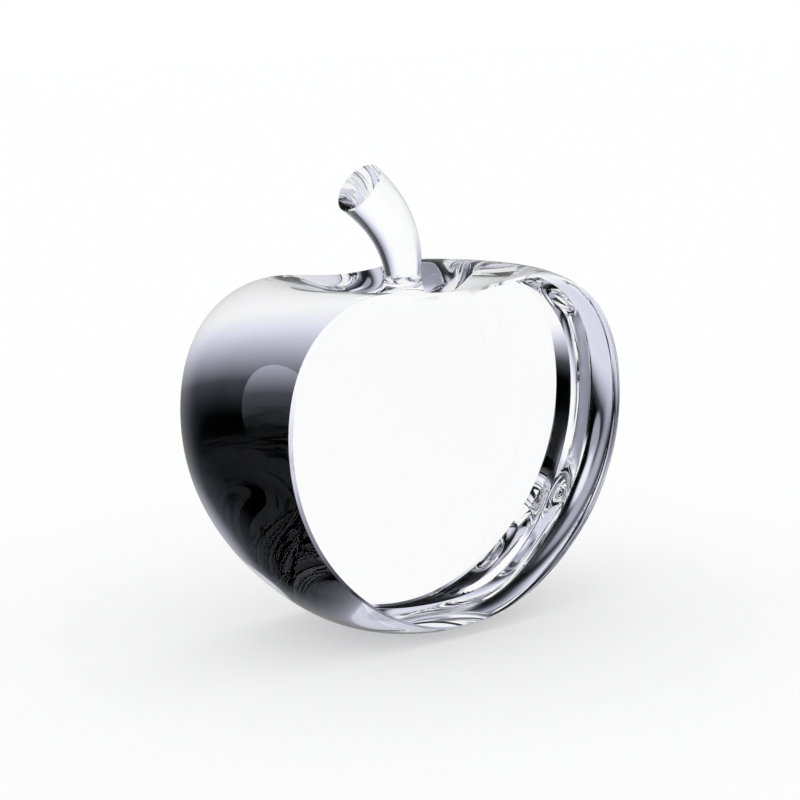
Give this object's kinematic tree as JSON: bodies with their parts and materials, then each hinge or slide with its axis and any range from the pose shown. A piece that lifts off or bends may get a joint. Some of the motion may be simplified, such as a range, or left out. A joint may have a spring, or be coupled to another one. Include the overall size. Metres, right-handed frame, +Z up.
{
  "type": "crystal apple ornament",
  "caption": "Clear crystal apple with ground flat front and back, polished bevels and a curved glass stem glued into the dimple on top.",
  "frame": {"origin": "centre of the flat base, on the surface that the apple stands on", "axes": "+Z up, front face towards -Y, and the stem leans towards -X"},
  "size_m": [0.08, 0.0344, 0.0818],
  "materials": {
    "crystal_body": "clear optical crystal, ground and polished",
    "stem": "clear optical crystal, flame-drawn side and a ground, polished end",
    "stem_bond": "clear cured adhesive"
  },
  "bodies": {
    "root": {"crystal_body": "crystal_body", "stem": "stem", "stem_bond": "stem_bond"}
  },
  "joints": []
}
